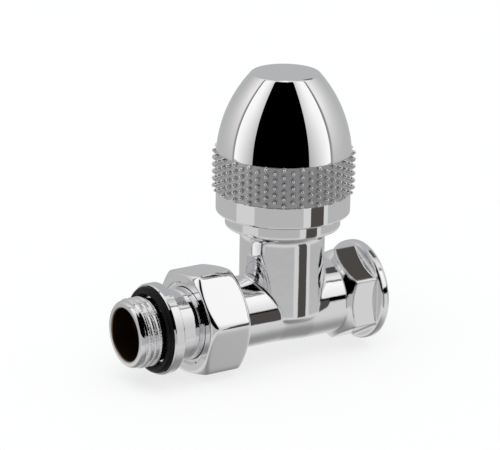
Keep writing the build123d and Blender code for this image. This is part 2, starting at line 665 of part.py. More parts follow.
def union_tail():
    """Threaded tail with a sealing flange, a neck for the nut and a nose for the socket."""
    thread_start = TAIL_END - TAIL_LEAD
    thread_end = thread_start - TAIL_THREAD_LENGTH
    rim = FLANGE_FACE
    flange_back = rim - TAIL_FLANGE
    ring_far = NUT_FAR - NUT_LIP - END_PLAY
    nose_r = SOCKET_R - SLIDE_PLAY
    shell = turned(
        [
            (0, -TAIL_END),
            (TAIL_LEAD_R - TAIL_END_CHAMFER, -TAIL_END),
            (TAIL_LEAD_R, -TAIL_END + TAIL_END_CHAMFER),
            (TAIL_LEAD_R, -thread_start),
            (TAIL_THREAD_R, -thread_start + THREAD_CHAMFER),
            (TAIL_THREAD_R, -thread_end),
            (TAIL_RELIEF_R, -thread_end),
            (TAIL_RELIEF_R, -rim),
            (TAIL_FLANGE_R - TAIL_FLANGE_CHAMFER, -rim),
            (TAIL_FLANGE_R, -rim + TAIL_FLANGE_CHAMFER),
            (TAIL_FLANGE_R, -flange_back),
            (TAIL_NECK_R, -flange_back),
            (TAIL_NECK_R, -RUN_END - END_PLAY / 2),
            (nose_r, -RUN_END - END_PLAY / 2),
            (nose_r, -RUN_END + SOCKET_DEPTH - NOSE_PLAY),
            (0, -RUN_END + SOCKET_DEPTH - NOSE_PLAY),
        ],
        upright=False,
    )
    recess = bar(SEAL_R + SEAL_LAND, -rim, -rim + SEAL_RECESS) - bar(TAIL_RELIEF_R, -rim, -rim + SEAL_RECESS)
    ring_groove = bar(TAIL_NECK_R + 1, -ring_far, -ring_far + SPLIT_RING_WIDTH)
    ring_groove -= bar(TAIL_NECK_R - SPLIT_RING_DEPTH, -ring_far, -ring_far + SPLIT_RING_WIDTH)
    nose_middle = nose_ring_station()
    nose_groove = bar(nose_r + 1, nose_middle - O_RING_CORD / 2, nose_middle + O_RING_CORD / 2)
    nose_groove -= bar(
        nose_r - NOSE_GROOVE_DEPTH, nose_middle - O_RING_CORD / 2, nose_middle + O_RING_CORD / 2
    )
    bore = bar(TAIL_BORE_R, -TAIL_END, -TAIL_END + TAIL_BORE_DEPTH)
    key = hex_bar(KEY_HEX, -TAIL_END + TAIL_BORE_DEPTH, -TAIL_END + TAIL_BORE_DEPTH + KEY_DEPTH)
    water = bar(CHANNEL_R, -TAIL_END + TAIL_BORE_DEPTH + KEY_DEPTH, -RUN_END + SOCKET_DEPTH)
    return shell - recess - ring_groove - nose_groove - bore - key - water


def nose_ring_station():
    """Place along X of the rubber ring in the tail's nose."""
    return -RUN_END + NOSE_RING_SETBACK + O_RING_CORD / 2


def tail_seal_ring():
    """Black ring that seals the tail's flange on the radiator."""
    station = -FLANGE_FACE + SEAL_RECESS - SEAL_CORD / 2
    return Pos(station, 0, 0) * Rot(0, 90, 0) * cord_ring(SEAL_R, SEAL_CORD)


def seat_o_ring():
    """Rubber ring on the tail's nose, inside the body's socket."""
    ring = cord_ring(SOCKET_R - THREAD_PLAY, O_RING_CORD - THREAD_PLAY)
    return Pos(nose_ring_station(), 0, 0) * Rot(0, 90, 0) * ring


def nut_retaining_ring():
    """Split spring ring in the tail's neck, which the nut's lip pulls on."""
    ring_far = NUT_FAR - NUT_LIP - END_PLAY
    ring = bar(SPLIT_RING_R, -ring_far, -ring_far + SPLIT_RING_WIDTH)
    ring -= bar(TAIL_NECK_R - SPLIT_RING_DEPTH, -ring_far, -ring_far + SPLIT_RING_WIDTH)
    gap = Pos(-ring_far, 0, 0) * Box(
        SPLIT_RING_WIDTH, SPLIT_RING_GAP, 2 * SPLIT_RING_R, align=(Align.MIN, Align.CENTER, Align.MAX)
    )
    return ring - gap


PIECES = {
    "valve_body": valve_body,
    "bonnet": bonnet,
    "bonnet_gasket": bonnet_gasket,
    "gland_nut": gland_nut,
    "disc_holder": disc_holder,
    "disc_gasket": disc_gasket,
    "disc_screw": disc_screw,
    "spindle": spindle,
    "handle_hub": handle_hub,
    "handle_skirt": handle_skirt,
    "grip_band": grip_band,
    "handle_dome": handle_dome,
    "handle_washer": handle_washer,
    "handle_screw": handle_screw,
    "union_nut": union_nut,
    "union_tail": union_tail,
    "tail_seal_ring": tail_seal_ring,
    "seat_o_ring": seat_o_ring,
    "nut_retaining_ring": nut_retaining_ring,
    "lower_spindle_ring": lambda: spindle_ring(THREAD_BORE_TOP + LOWER_RING_RISE),
    "upper_spindle_ring": lambda: spindle_ring(GLAND_LOW + O_RING_CORD / 2),
}

os.makedirs("parts", exist_ok=True)
for name, make in PIECES.items():
    export_step(Pos(-PORT_REACH, 0, 0) * make(), f"parts/{name}.step")
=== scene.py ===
import bpy
import bmesh
from math import asin, cos, hypot, pi, radians, sin, tan
from mathutils import Matrix, Vector


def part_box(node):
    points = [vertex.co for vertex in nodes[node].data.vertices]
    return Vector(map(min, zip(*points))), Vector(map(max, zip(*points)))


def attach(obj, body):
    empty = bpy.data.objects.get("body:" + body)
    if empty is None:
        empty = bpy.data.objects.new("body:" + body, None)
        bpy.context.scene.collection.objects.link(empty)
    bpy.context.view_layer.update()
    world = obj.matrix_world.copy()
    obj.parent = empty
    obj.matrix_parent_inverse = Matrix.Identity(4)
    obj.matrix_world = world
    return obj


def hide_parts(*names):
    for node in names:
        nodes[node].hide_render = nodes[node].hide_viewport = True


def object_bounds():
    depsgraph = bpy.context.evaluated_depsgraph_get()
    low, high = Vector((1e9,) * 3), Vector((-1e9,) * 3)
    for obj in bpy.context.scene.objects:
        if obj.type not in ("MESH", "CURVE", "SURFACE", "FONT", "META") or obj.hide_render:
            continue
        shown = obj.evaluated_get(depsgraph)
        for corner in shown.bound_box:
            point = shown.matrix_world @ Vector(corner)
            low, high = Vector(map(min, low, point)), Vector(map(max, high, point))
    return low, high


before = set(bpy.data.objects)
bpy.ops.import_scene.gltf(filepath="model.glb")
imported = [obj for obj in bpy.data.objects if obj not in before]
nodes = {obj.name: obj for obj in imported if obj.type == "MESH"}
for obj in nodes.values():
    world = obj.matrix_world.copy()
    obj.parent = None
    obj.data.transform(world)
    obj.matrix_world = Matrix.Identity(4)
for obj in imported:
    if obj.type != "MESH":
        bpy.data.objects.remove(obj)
cad_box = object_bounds()

MM = 0.001

# Places taken from the frame
KNOB_X = sum(corner[0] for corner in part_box("handle_dome")) / 2
TAIL_END_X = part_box("union_tail")[0][0]
NUT_FACE_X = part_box("union_nut")[0][0]
BAND_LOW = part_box("handle_skirt")[1][2]
FLOOR_Z = cad_box[0][2]

# Camera, solved from the round edges in the photograph
CAMERA_PLACE = (-0.43622, -0.61452, 0.26303)
CAMERA_YAW = radians(-32.76)
CAMERA_PITCH = radians(17.92)
CAMERA_ROLL = radians(0.95)
CAMERA_LENS = 187.2
SENSOR_WIDTH = 36.0
CLIP = (0.01, 50.0)

# Grip band, in millimetres
BAND_R = 20.05
BAND_INNER_R = 18.3
BAND_HEIGHT = 12.2
BAND_EDGE = 0.12
BAND_SIDES = 192
STUD_COLUMNS = 48
STUD_ROWS = 6
STUD_PITCH = 2.16
STUD_PHASE = -2.8
STUD_SIDES = 12
STUD_OUTLINE = [  # (radius, rise above the band)
    (0.86, -0.12), (0.74, 0.05), (0.64, 0.28), (0.58, 0.6), (0.5, 0.9), (0.36, 1.12), (0.18, 1.23),
]
STUD_TIP = 1.25

# Union tail, in millimetres from its free end; outlines are (radius, depth)
TAIL_SIDES = 288
THREAD_START = 1.7
THREAD_END = 7.3
THREAD_PITCH = 1.814
THREAD_CREST_R = 10.46
THREAD_ROOT_R = 9.4
THREAD_STEPS = 60
ROOT_SHARE = 0.1  # of half a pitch, flat at the root
FLANK_SHARE = 0.78
EASED = 0.35  # share of the flank's rise that is eased at both ends
SERRATIONS = 72
SERRATION_DEPTH = 0.11
SERRATED_FROM = 0.7  # share of the thread's height
LEAD_R = 10.0
LEAD_LEAST_R = 9.9
LEAD_SLOPE = 0.9
RUN_OUT_SLOPE = 3.0
RELIEF_R = 9.3
SEAT_R = 13.0
SEAT_DEPTH = 10.1
FLANGE_R = 13.6
NECK_R = 10.75
NECK_END = 22.4
NOSE_R = 9.7
NOSE_END = 29.0
GROOVE_R = 8.2
WATER_R = 7.0
KEY_INNER_R = 6.5
KEY_END = 16.0
BORE_R = 7.86
BORE_DEPTH = 8.0
TIP_OUTLINE = [(8.15, 0.0), (9.2, 0.0), (9.45, 0.08), (9.95, 0.75), (LEAD_R, 1.0)]
FLANGE_OUTLINE = [
    (RELIEF_R, THREAD_END + 0.05), (RELIEF_R, SEAT_DEPTH), (SEAT_R, SEAT_DEPTH), (SEAT_R, 9.15),
    (13.08, 9.1), (13.15, 9.1), (13.5, 9.4), (FLANGE_R, 9.6), (FLANGE_R, 12.15), (13.5, 12.35),
    (13.3, 12.4), (11.15, 12.4), (10.85, 12.5), (NECK_R, 12.8),
]
NOSE_OUTLINE = [
    (NECK_R, NECK_END), (9.9, NECK_END), (9.9, 23.95), (NOSE_R, 23.95), (NOSE_R, 25.5),
    (GROOVE_R, 25.5), (GROOVE_R, 27.1), (NOSE_R, 27.1), (NOSE_R, 28.8), (9.5, NOSE_END),
    (WATER_R, NOSE_END), (WATER_R, KEY_END),
]
MOUTH_OUTLINE = [(BORE_R, BORE_DEPTH), (BORE_R, 0.3)]

# Points that keep the shading of straight sides, in millimetres
HOLD = 0.06  # from a corner to the point that holds a straight side
HELD_FROM = 5  # times HOLD is the shortest side that is held

# Dome, in millimetres
DOME_R = 20.05
DOME_FLAT_R = 9.9
DOME_HEIGHT = 23.5
DOME_BULGE = 2.11
DOME_WALL = 1.6
RIM_R = 1.5
RIM_TURN = radians(47.9)
DOME_SIDES = 256
SLOPE_STEPS = 40
INNER_STEPS = 16
RIM_STEPS = 12
FLAT_EDGE = 0.15  # from the rim's round to the ring that holds the flat top
CENTRE_R = 0.02
PLUG_MARGIN = 0.1  # kept from the plug's ends where its radii are read

# Union nut, in millimetres from the face towards the tail; its inside is (radius, station)
NUT_APOTHEM = 15.0
NUT_TURN = 20.0
NUT_LENGTH = 13.9
NUT_FACE_R = 15.0
NUT_CONE_RISE = 1.64
NUT_SIDES = 432
CORNER_POWER = 30
EDGE_POWER = 38
FACE_EDGE = 0.3
FACING = 0.3  # cosine of the widest turn at which a flat still counts
NUT_STATIONS = [
    0.0, 0.08, 0.18, 0.3, 0.45, 0.6, 0.75, 0.9, 1.05, 1.2, 1.35, 1.5, 1.7, 1.95, 2.3, 2.8, 3.6, 5.0,
]
NUT_BORE_R = 13.2
NUT_LIP = 2.4
NUT_LIP_R = 10.95
NUT_STEP = 0.8
NUT_STEP_R = 11.75
NUT_INSIDE = [
    (14.0, NUT_LENGTH), (13.5, NUT_LENGTH), (NUT_BORE_R, NUT_LENGTH - 0.3), (NUT_BORE_R, NUT_LIP),
    (NUT_LIP_R, NUT_LIP), (NUT_LIP_R, 0.9), (11.05, NUT_STEP), (NUT_STEP_R, NUT_STEP),
    (12.45, 0.1), (12.6, 0.0), (12.8, 0.0), (14.2, 0.0),
]

# Finishes: noise scales are per metre, and heights are in metres
NOISE_ROUGHNESS = 0.55
NOISE_SPAN = (0.3, 0.7)
HAZE_SCALE = 900
HAZE_SPAN = (0.6, 1.5)  # times the plate's roughness
RIPPLE_SCALE = 190
FINE_SCALE = 2600
FINE_SHARE = 0.03
BEVEL_SAMPLES = 8
GRAIN_SCALE = 1800
GRAIN_HEIGHT = 0.000006
BORE_BRASS = (0.2, 0.125, 0.075)
TAIL_PLATE = (0.84, 0.84, 0.85)
BAND_PLATE = (0.63, 0.63, 0.64)
# lighter than the band's plate: a painted highlight on the lit stud tips
TIP_PLATE_AND_HIGHLIGHT = (0.88, 0.88, 0.89)
RUBBER_DARK = (0.002, 0.002, 0.0022)
RUBBER_LIGHT = (0.005, 0.005, 0.0053)


def add_mesh(name, bm, smooth_angle=35.0):
    """Turns a bmesh into an object with smooth shading and sharp corners."""
    bmesh.ops.recalc_face_normals(bm, faces=bm.faces)
    mesh = bpy.data.meshes.new(name)
    bm.to_mesh(mesh)
    bm.free()
    mesh.polygons.foreach_set("use_smooth", [True] * len(mesh.polygons))
    mesh.set_sharp_from_angle(angle=radians(smooth_angle))
    piece = bpy.data.objects.new(name, mesh)
    bpy.context.scene.collection.objects.link(piece)
    return piece


def ring_strip(bm, rings, closed_profile=True):
    """Joins rings of vertices with quads, and the last ring with the first where the profile is closed."""
    count = len(rings[0])
    pairs = list(zip(rings, rings[1:]))
    if closed_profile:
        pairs.append((rings[-1], rings[0]))
    for lower, upper in pairs:
        for i in range(count):
            j = (i + 1) % count
            bm.faces.new((lower[i], lower[j], upper[j], upper[i]))


def turns(sides):
    """Equal steps of angle round an axis."""
    return [2 * pi * i / sides for i in range(sides)]


def lathe_rings(bm, profile, sides, place):
    """Rings of vertices for a profile of (radius, station); place puts (radius, station, angle) in space."""
    return [[bm.verts.new(place(radius, station, a)) for a in turns(sides)] for radius, station in profile]


def held(profile):
    """The profile with points close to the ends of its long sides, which keep their shading straight."""
    points = []
    for start, end in zip(profile, profile[1:]):
        points.append(start)
        length = hypot(end[0] - start[0], end[1] - start[1])
        if length > HELD_FROM * HOLD:
            for share in (HOLD / length, 1 - HOLD / length):
                points.append(tuple(start[k] + (end[k] - start[k]) * share for k in (0, 1)))
    return points + [profile[-1]]


def about_knob(radius, height, angle):
    """A point about the spindle axis, with its radius and height in millimetres."""
    return (KNOB_X + radius * MM * cos(angle), radius * MM * sin(angle), height * MM)


def about_run(radius, depth, angle):
    """A point about the run axis, with its depth from the tail's free end in millimetres."""
    return (TAIL_END_X + depth * MM, radius * MM * cos(angle), radius * MM * sin(angle))


def about_nut(radius, station, angle):
    """A point about the run axis, with its station from the nut's face in millimetres."""
    return (NUT_FACE_X + station * MM, radius * MM * cos(angle), radius * MM * sin(angle))


def grip_band():
    """Satin sleeve with staggered columns of rounded studs."""
    bm = bmesh.new()
    low = BAND_LOW / MM
    high = low + BAND_HEIGHT
    profile = [
        (BAND_INNER_R, low),
        (BAND_R - BAND_EDGE, low),
        (BAND_R, low + BAND_EDGE),
        (BAND_R, high - BAND_EDGE),
        (BAND_R - BAND_EDGE, high),
        (BAND_INNER_R, high),
    ]
    ring_strip(bm, lathe_rings(bm, held(profile), BAND_SIDES, about_knob))
    middle = (low + high) / 2
    for column in range(STUD_COLUMNS):
        count = STUD_ROWS - column % 2
        turn = radians(STUD_PHASE + 360 / STUD_COLUMNS * column)
        for row in range(count):
            add_stud(bm, turn, middle + (row - (count - 1) / 2) * STUD_PITCH)
    return add_mesh("grip_band_studded", bm, 50.0)


def add_stud(bm, turn, height):
    """One peg that stands out from the band, with a rounded tip."""
    out = Vector((cos(turn), sin(turn), 0))
    side = Vector((-sin(turn), cos(turn), 0))
    up = Vector((0, 0, 1))
    foot = Vector((KNOB_X, 0, height * MM)) + out * BAND_R * MM
    rings = []
    for radius, rise in STUD_OUTLINE:
        ring = []
        for angle in turns(STUD_SIDES):
            across = side * cos(angle) + up * sin(angle)
            ring.append(bm.verts.new(foot + out * rise * MM + across * radius * MM))
        rings.append(ring)
    ring_strip(bm, rings, closed_profile=False)
    tip = bm.verts.new(foot + out * STUD_TIP * MM)
    last = rings[-1]
    for i in range(STUD_SIDES):
        bm.faces.new((last[i], last[(i + 1) % STUD_SIDES], tip))
    bm.faces.new(reversed(rings[0]))


def thread_radius(depth, angle):
    """Outside radius on the threaded length: a rounded V helix with serrated crests."""
    phase = (depth / THREAD_PITCH - angle / (2 * pi)) % 1.0
    rise = abs(2 * phase - 1)
    rise = min(max((rise - ROOT_SHARE) / FLANK_SHARE, 0.0), 1.0)
    rise = rise * rise * (3 - 2 * rise) * EASED + rise * (1 - EASED)
    radius = THREAD_ROOT_R + (THREAD_CREST_R - THREAD_ROOT_R) * rise
    if rise > SERRATED_FROM:
        notch = (1 + cos(SERRATIONS * angle)) / 2
        radius -= SERRATION_DEPTH * notch * (rise - SERRATED_FROM) / (1 - SERRATED_FROM)
    lead = LEAD_R + (depth - THREAD_START) * LEAD_SLOPE
    run_out = THREAD_ROOT_R + max(THREAD_END - depth, 0.0) * RUN_OUT_SLOPE
    return min(radius, max(lead, LEAD_LEAST_R), run_out)


def key_radius(angle):
    """Radius of the hexagonal key socket at an angle about the axis."""
    sector = pi / 3
    return KEY_INNER_R / cos((angle + sector / 2) % sector - sector / 2)


def union_tail():
    """Union tail with its real thread, sealing flange, neck, nose and key socket."""
    bm = bmesh.new()
    angles = turns(TAIL_SIDES)
    rings = lathe_rings(bm, TIP_OUTLINE, TAIL_SIDES, about_run)
    for i in range(THREAD_STEPS + 1):
        depth = THREAD_START + (THREAD_END - THREAD_START) * i / THREAD_STEPS
        rings.append([bm.verts.new(about_run(thread_radius(depth, a), depth, a)) for a in angles])
    rings += lathe_rings(bm, held(FLANGE_OUTLINE + NOSE_OUTLINE), TAIL_SIDES, about_run)
    for depth in (KEY_END, BORE_DEPTH):
        rings.append([bm.verts.new(about_run(key_radius(a), depth, a)) for a in angles])
    rings += lathe_rings(bm, MOUTH_OUTLINE, TAIL_SIDES, about_run)
    ring_strip(bm, rings)
    return add_mesh("union_tail_threaded", bm, 40.0)


def arc_points(start, end, bulge, count):
    """Points from start to end on an arc that stands off the chord by bulge, to the chord's right."""
    run, climb = end[0] - start[0], end[1] - start[1]
    half = hypot(run, climb) / 2
    along = (run / half / 2, climb / half / 2)
    out = (along[1], -along[0])
    radius = (half * half + bulge * bulge) / (2 * bulge)
    centre = tuple((start[i] + end[i]) / 2 - out[i] * (radius - bulge) for i in (0, 1))
    sweep = asin(half / radius)
    points = []
    for i in range(count + 1):
        turn = sweep * (2 * i / count - 1)
        points.append(tuple(centre[k] + radius * (out[k] * cos(turn) + along[k] * sin(turn)) for k in (0, 1)))
    return points


def plug_radii(low, high):
    """Smallest and largest radius of the dome's plug, in millimetres, read from the CAD mesh."""
    piece = nodes["handle_dome"]
    places = [piece.matrix_world @ vertex.co for vertex in piece.data.vertices]
    radii = [hypot(p.x - KNOB_X, p.y) / MM for p in places if low * MM < p.z < high * MM]
    return min(radii), max(radii)


def dome():
    """Mirror cap with a rounded rim round its flat top, and the plug that holds it in the hub."""
    bm = bmesh.new()
    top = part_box("handle_dome")[1][2] / MM
    foot = top - DOME_HEIGHT
    plug_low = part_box("handle_dome")[0][2] / MM
    plug_inner, plug_outer = plug_radii(plug_low - PLUG_MARGIN, foot - PLUG_MARGIN)
    slope = arc_points((DOME_R, foot), (DOME_FLAT_R, top), DOME_BULGE, SLOPE_STEPS)
    rim_cut = RIM_R * tan(RIM_TURN / 2)
    slope = [point for point in slope if top - point[1] > rim_cut]
    flat_r = DOME_FLAT_R - rim_cut
    rim = []
    for i in range(RIM_STEPS + 1):
        turn = RIM_TURN * (1 - i / RIM_STEPS)
        rim.append((flat_r + RIM_R * sin(turn), top - RIM_R * (1 - cos(turn))))
    inner_foot = (DOME_R - DOME_WALL, foot + DOME_WALL)
    inner_top = (DOME_FLAT_R - DOME_WALL, top - DOME_WALL)
    inner = arc_points(inner_foot, inner_top, DOME_BULGE, INNER_STEPS)
    profile = [(plug_outer, plug_low), (plug_outer, foot)] + slope + rim
    profile += [(flat_r - FLAT_EDGE, top), (CENTRE_R, top), (CENTRE_R, top - DOME_WALL)]
    profile += inner[::-1] + [(plug_inner, foot + DOME_WALL), (plug_inner, plug_low)]
    ring_strip(bm, lathe_rings(bm, profile, DOME_SIDES, about_knob))
    return add_mesh("dome_cap", bm, 30.0)


def soft_least(values, power):
    """The least of several radii, with a rounded change from one to the next."""
    return sum(value ** -power for value in values) ** (-1 / power)


def nut_radius(station, angle):
    """Outside radius of the nut: rounded hexagon corners that run out in a cone at both ends."""
    flats = []
    for k in range(6):
        tilt = cos(angle - radians(NUT_TURN + 60 * k))
        if tilt > FACING:
            flats.append(NUT_APOTHEM / tilt)
    depth = min(station, NUT_LENGTH - station)
    cone = NUT_FACE_R + NUT_CONE_RISE * depth
    edge = max(1 - depth / FACE_EDGE, 0.0)
    return soft_least([soft_least(flats, CORNER_POWER), cone], EDGE_POWER) - FACE_EDGE * edge * edge


def union_nut():
    """Hexagon nut with worn corners, a recess round the tail's neck and its thread bore."""
    bm = bmesh.new()
    stations = NUT_STATIONS + [NUT_LENGTH - station for station in NUT_STATIONS[::-1]]
    rings = [[bm.verts.new(about_nut(nut_radius(s, a), s, a)) for a in turns(NUT_SIDES)] for s in stations]
    rings += lathe_rings(bm, held(NUT_INSIDE), NUT_SIDES, about_nut)
    ring_strip(bm, rings)
    return add_mesh("union_nut_worn", bm, 30.0)


def shader(name):
    """A new material, with its node tree and its Principled shader."""
    material = bpy.data.materials.new(name)
    material.use_nodes = True
    tree = material.node_tree
    return material, tree, tree.nodes["Principled BSDF"]


def noise(tree, scale, detail):
    """Noise in the object's own coordinates, which are metres."""
    place = tree.nodes.new("ShaderNodeTexCoord")
    texture = tree.nodes.new("ShaderNodeTexNoise")
    texture.inputs["Scale"].default_value = scale
    texture.inputs["Detail"].default_value = detail
    texture.inputs["Roughness"].default_value = NOISE_ROUGHNESS
    tree.links.new(place.outputs["Object"], texture.inputs["Vector"])
    return texture.outputs["Fac"]


def spread(tree, value, low, high):
    """Maps noise onto a range of values."""
    span = tree.nodes.new("ShaderNodeMapRange")
    span.inputs["From Min"].default_value = NOISE_SPAN[0]
    span.inputs["From Max"].default_value = NOISE_SPAN[1]
    span.inputs["To Min"].default_value = low
    span.inputs["To Max"].default_value = high
    tree.links.new(value, span.inputs["Value"])
    return span.outputs["Result"]


def bump(tree, height, distance, under=None):
    """A bump of a real height, in metres, over an earlier one where there is one."""
    node = tree.nodes.new("ShaderNodeBump")
    node.inputs["Distance"].default_value = distance
    node.inputs["Strength"].default_value = 1.0
    tree.links.new(height, node.inputs["Height"])
    if under:
        tree.links.new(under, node.inputs["Normal"])
    return node.outputs["Normal"]


def chrome(name, color, roughness, ripple, worn=0.0):
    """Chrome plate: a clear mirror with faint ripples, and worn edges where their radius is given."""
    material, tree, principled = shader(name)
    principled.inputs["Metallic"].default_value = 1.0
    principled.inputs["Base Color"].default_value = (*color, 1)
    low, high = (roughness * share for share in HAZE_SPAN)
    tree.links.new(spread(tree, noise(tree, HAZE_SCALE, 4), low, high), principled.inputs["Roughness"])
    soft = None
    if worn:
        edges = tree.nodes.new("ShaderNodeBevel")
        edges.samples = BEVEL_SAMPLES
        edges.inputs["Radius"].default_value = worn
        soft = edges.outputs["Normal"]
    waves = bump(tree, noise(tree, RIPPLE_SCALE, 1.5), ripple, under=soft)
    fine = bump(tree, noise(tree, FINE_SCALE, 2), ripple * FINE_SHARE, under=waves)
    tree.links.new(fine, principled.inputs["Normal"])
    return material


def radius_about(tree, center, axis):
    """Distance from an axis through center, in metres, read from the object's own coordinates."""
    place = tree.nodes.new("ShaderNodeTexCoord")
    offset = tree.nodes.new("ShaderNodeVectorMath")
    offset.operation = "SUBTRACT"
    offset.inputs[1].default_value = center
    tree.links.new(place.outputs["Object"], offset.inputs[0])
    flat = tree.nodes.new("ShaderNodeVectorMath")
    flat.operation = "MULTIPLY"
    flat.inputs[1].default_value = tuple(0.0 if along else 1.0 for along in axis)
    tree.links.new(offset.outputs["Vector"], flat.inputs[0])
    length = tree.nodes.new("ShaderNodeVectorMath")
    length.operation = "LENGTH"
    tree.links.new(flat.outputs["Vector"], length.inputs[0])
    return length.outputs["Value"]


def step_between(tree, value, low, high):
    """0 below low and 1 above high."""
    span = tree.nodes.new("ShaderNodeMapRange")
    span.inputs["From Min"].default_value = low
    span.inputs["From Max"].default_value = high
    tree.links.new(value, span.inputs["Value"])
    return span.outputs["Result"]


def mix_colors(tree, factor, first, second):
    """The first colour where factor is 0, and the second where it is 1."""
    mix = tree.nodes.new("ShaderNodeMix")
    mix.data_type = "RGBA"
    mix.inputs["A"].default_value = (*first, 1)
    mix.inputs["B"].default_value = (*second, 1)
    tree.links.new(factor, mix.inputs["Factor"])
    return mix.outputs["Result"]


def mix_values(tree, factor, first, second):
    """The first value where factor is 0, and the second where it is 1."""
    mix = tree.nodes.new("ShaderNodeMapRange")
    mix.inputs["To Min"].default_value = first
    mix.inputs["To Max"].default_value = second
    tree.links.new(factor, mix.inputs["Value"])
    return mix.outputs["Result"]


def tail_metal():
    """Chrome outside, bare dark brass inside the bore."""
    material, tree, principled = shader("tail_plate")
    principled.inputs["Metallic"].default_value = 1.0
    radius = radius_about(tree, (0, 0, 0), (True, False, False))
    outside = step_between(tree, radius, 8.0 * MM, 8.4 * MM)
    colors = mix_colors(tree, outside, BORE_BRASS, TAIL_PLATE)
    tree.links.new(colors, principled.inputs["Base Color"])
    tree.links.new(mix_values(tree, outside, 0.38, 0.07), principled.inputs["Roughness"])
    tree.links.new(bump(tree, noise(tree, 400, 2), 0.00002), principled.inputs["Normal"])
    return material


def grip_metal():
    """Satin plate, rough between the studs and polished by hands at their tips, whose lighter colour is a
    painted highlight.
    """
    material, tree, principled = shader("grip_satin")
    principled.inputs["Metallic"].default_value = 1.0
    radius = radius_about(tree, (KNOB_X, 0, 0), (False, False, True))
    tips = step_between(tree, radius, (BAND_R + 0.15) * MM, (BAND_R + 0.7) * MM)
    # the tips' lighter colour is a painted highlight, and their lower roughness is the polish
    colors = mix_colors(tree, tips, BAND_PLATE, TIP_PLATE_AND_HIGHLIGHT)
    tree.links.new(colors, principled.inputs["Base Color"])
    tree.links.new(mix_values(tree, tips, 0.5, 0.16), principled.inputs["Roughness"])
    tree.links.new(bump(tree, noise(tree, 5000, 3), 0.00001), principled.inputs["Normal"])
    return material


def rubber():
    """Black moulded rubber with a soft sheen."""
    material, tree, principled = shader("ring_rubber")
    tone = spread(tree, noise(tree, 700, 4), 0.4, 1.0)
    color = mix_colors(tree, tone, RUBBER_DARK, RUBBER_LIGHT)
    tree.links.new(color, principled.inputs["Base Color"])
    tree.links.new(spread(tree, noise(tree, 1500, 3), 0.36, 0.5), principled.inputs["Roughness"])
    principled.inputs["Specular IOR Level"].default_value = 0.18
    tree.links.new(bump(tree, noise(tree, 6000, 2), 0.000008), principled.inputs["Normal"])
    return material


def metal(name, color, low, high):
    """Turned or stamped metal with fine grain."""
    material, tree, principled = shader(name)
    principled.inputs["Metallic"].default_value = 1.0
    principled.inputs["Base Color"].default_value = (*color, 1)
    texture = noise(tree, GRAIN_SCALE, 3)
    tree.links.new(spread(tree, texture, low, high), principled.inputs["Roughness"])
    tree.links.new(bump(tree, texture, GRAIN_HEIGHT), principled.inputs["Normal"])
    return material


def plastic(name, color, roughness):
    """Moulded or pressed matter with a faint grain."""
    material, tree, principled = shader(name)
    tone = spread(tree, noise(tree, 900, 4), 0.0, 1.0)
    darker = tuple(channel * 0.85 for channel in color)
    tree.links.new(mix_colors(tree, tone, darker, color), principled.inputs["Base Color"])
    principled.inputs["Roughness"].default_value = roughness
    tree.links.new(bump(tree, noise(tree, 4000, 3), 0.00001), principled.inputs["Normal"])
    return material


def dress(material, *names):
    """Gives CAD nodes a finish."""
    for name in names:
        piece = nodes[name]
        piece.data.materials.clear()
        piece.data.materials.append(material)


def place_camera():
    """Camera at the photograph's place, turned by yaw, pitch and roll."""
    data = bpy.data.cameras.new("camera")
    data.lens = CAMERA_LENS
    data.sensor_width = SENSOR_WIDTH
    data.clip_start, data.clip_end = CLIP
    ahead = Vector(
        (-sin(CAMERA_YAW) * cos(CAMERA_PITCH), cos(CAMERA_YAW) * cos(CAMERA_PITCH), -sin(CAMERA_PITCH))
    )
    right = Vector((cos(CAMERA_YAW), sin(CAMERA_YAW), 0))
    up = right.cross(ahead)
    rolled_right = right * cos(CAMERA_ROLL) + up * sin(CAMERA_ROLL)
    rolled_up = up * cos(CAMERA_ROLL) - right * sin(CAMERA_ROLL)
    turn = Matrix((rolled_right, rolled_up, -ahead)).transposed()
    camera = bpy.data.objects.new("camera", data)
    camera.matrix_world = Matrix.Translation(CAMERA_PLACE) @ turn.to_4x4()
    bpy.context.scene.collection.objects.link(camera)
    bpy.context.scene.camera = camera


def glow(name, low_stops, high_stops):
    """Light card material: stops of (place across the card, colour) at its foot and from a quarter up."""
    material = bpy.data.materials.new(name)
    material.use_nodes = True
    tree = material.node_tree
    tree.nodes.clear()
    uv = tree.nodes.new("ShaderNodeUVMap")
    split = tree.nodes.new("ShaderNodeSeparateXYZ")
    light = tree.nodes.new("ShaderNodeEmission")
    out = tree.nodes.new("ShaderNodeOutputMaterial")
    rise = tree.nodes.new("ShaderNodeMapRange")
    rise.inputs["From Max"].default_value = CARD_BLEND
    mix = tree.nodes.new("ShaderNodeMix")
    mix.data_type = "RGBA"
    tree.links.new(uv.outputs["UV"], split.inputs["Vector"])
    tree.links.new(split.outputs["Y"], rise.inputs["Value"])
    tree.links.new(rise.outputs["Result"], mix.inputs["Factor"])
    tree.links.new(ramp(tree, split.outputs["X"], low_stops), mix.inputs["A"])
    tree.links.new(ramp(tree, split.outputs["X"], high_stops), mix.inputs["B"])
    tree.links.new(mix.outputs["Result"], light.inputs["Color"])
    tree.links.new(light.outputs["Emission"], out.inputs["Surface"])
    return material


def ramp(tree, value, stops):
    """Colours that blend along a value from 0 to 1."""
    node = tree.nodes.new("ShaderNodeValToRGB")
    while len(node.color_ramp.elements) < len(stops):
        node.color_ramp.elements.new(0.5)
    for element, (place, color) in zip(node.color_ramp.elements, stops):
        element.position = place
        element.color = (*color, 1)
    tree.links.new(value, node.inputs["Fac"])
    return node.outputs["Color"]


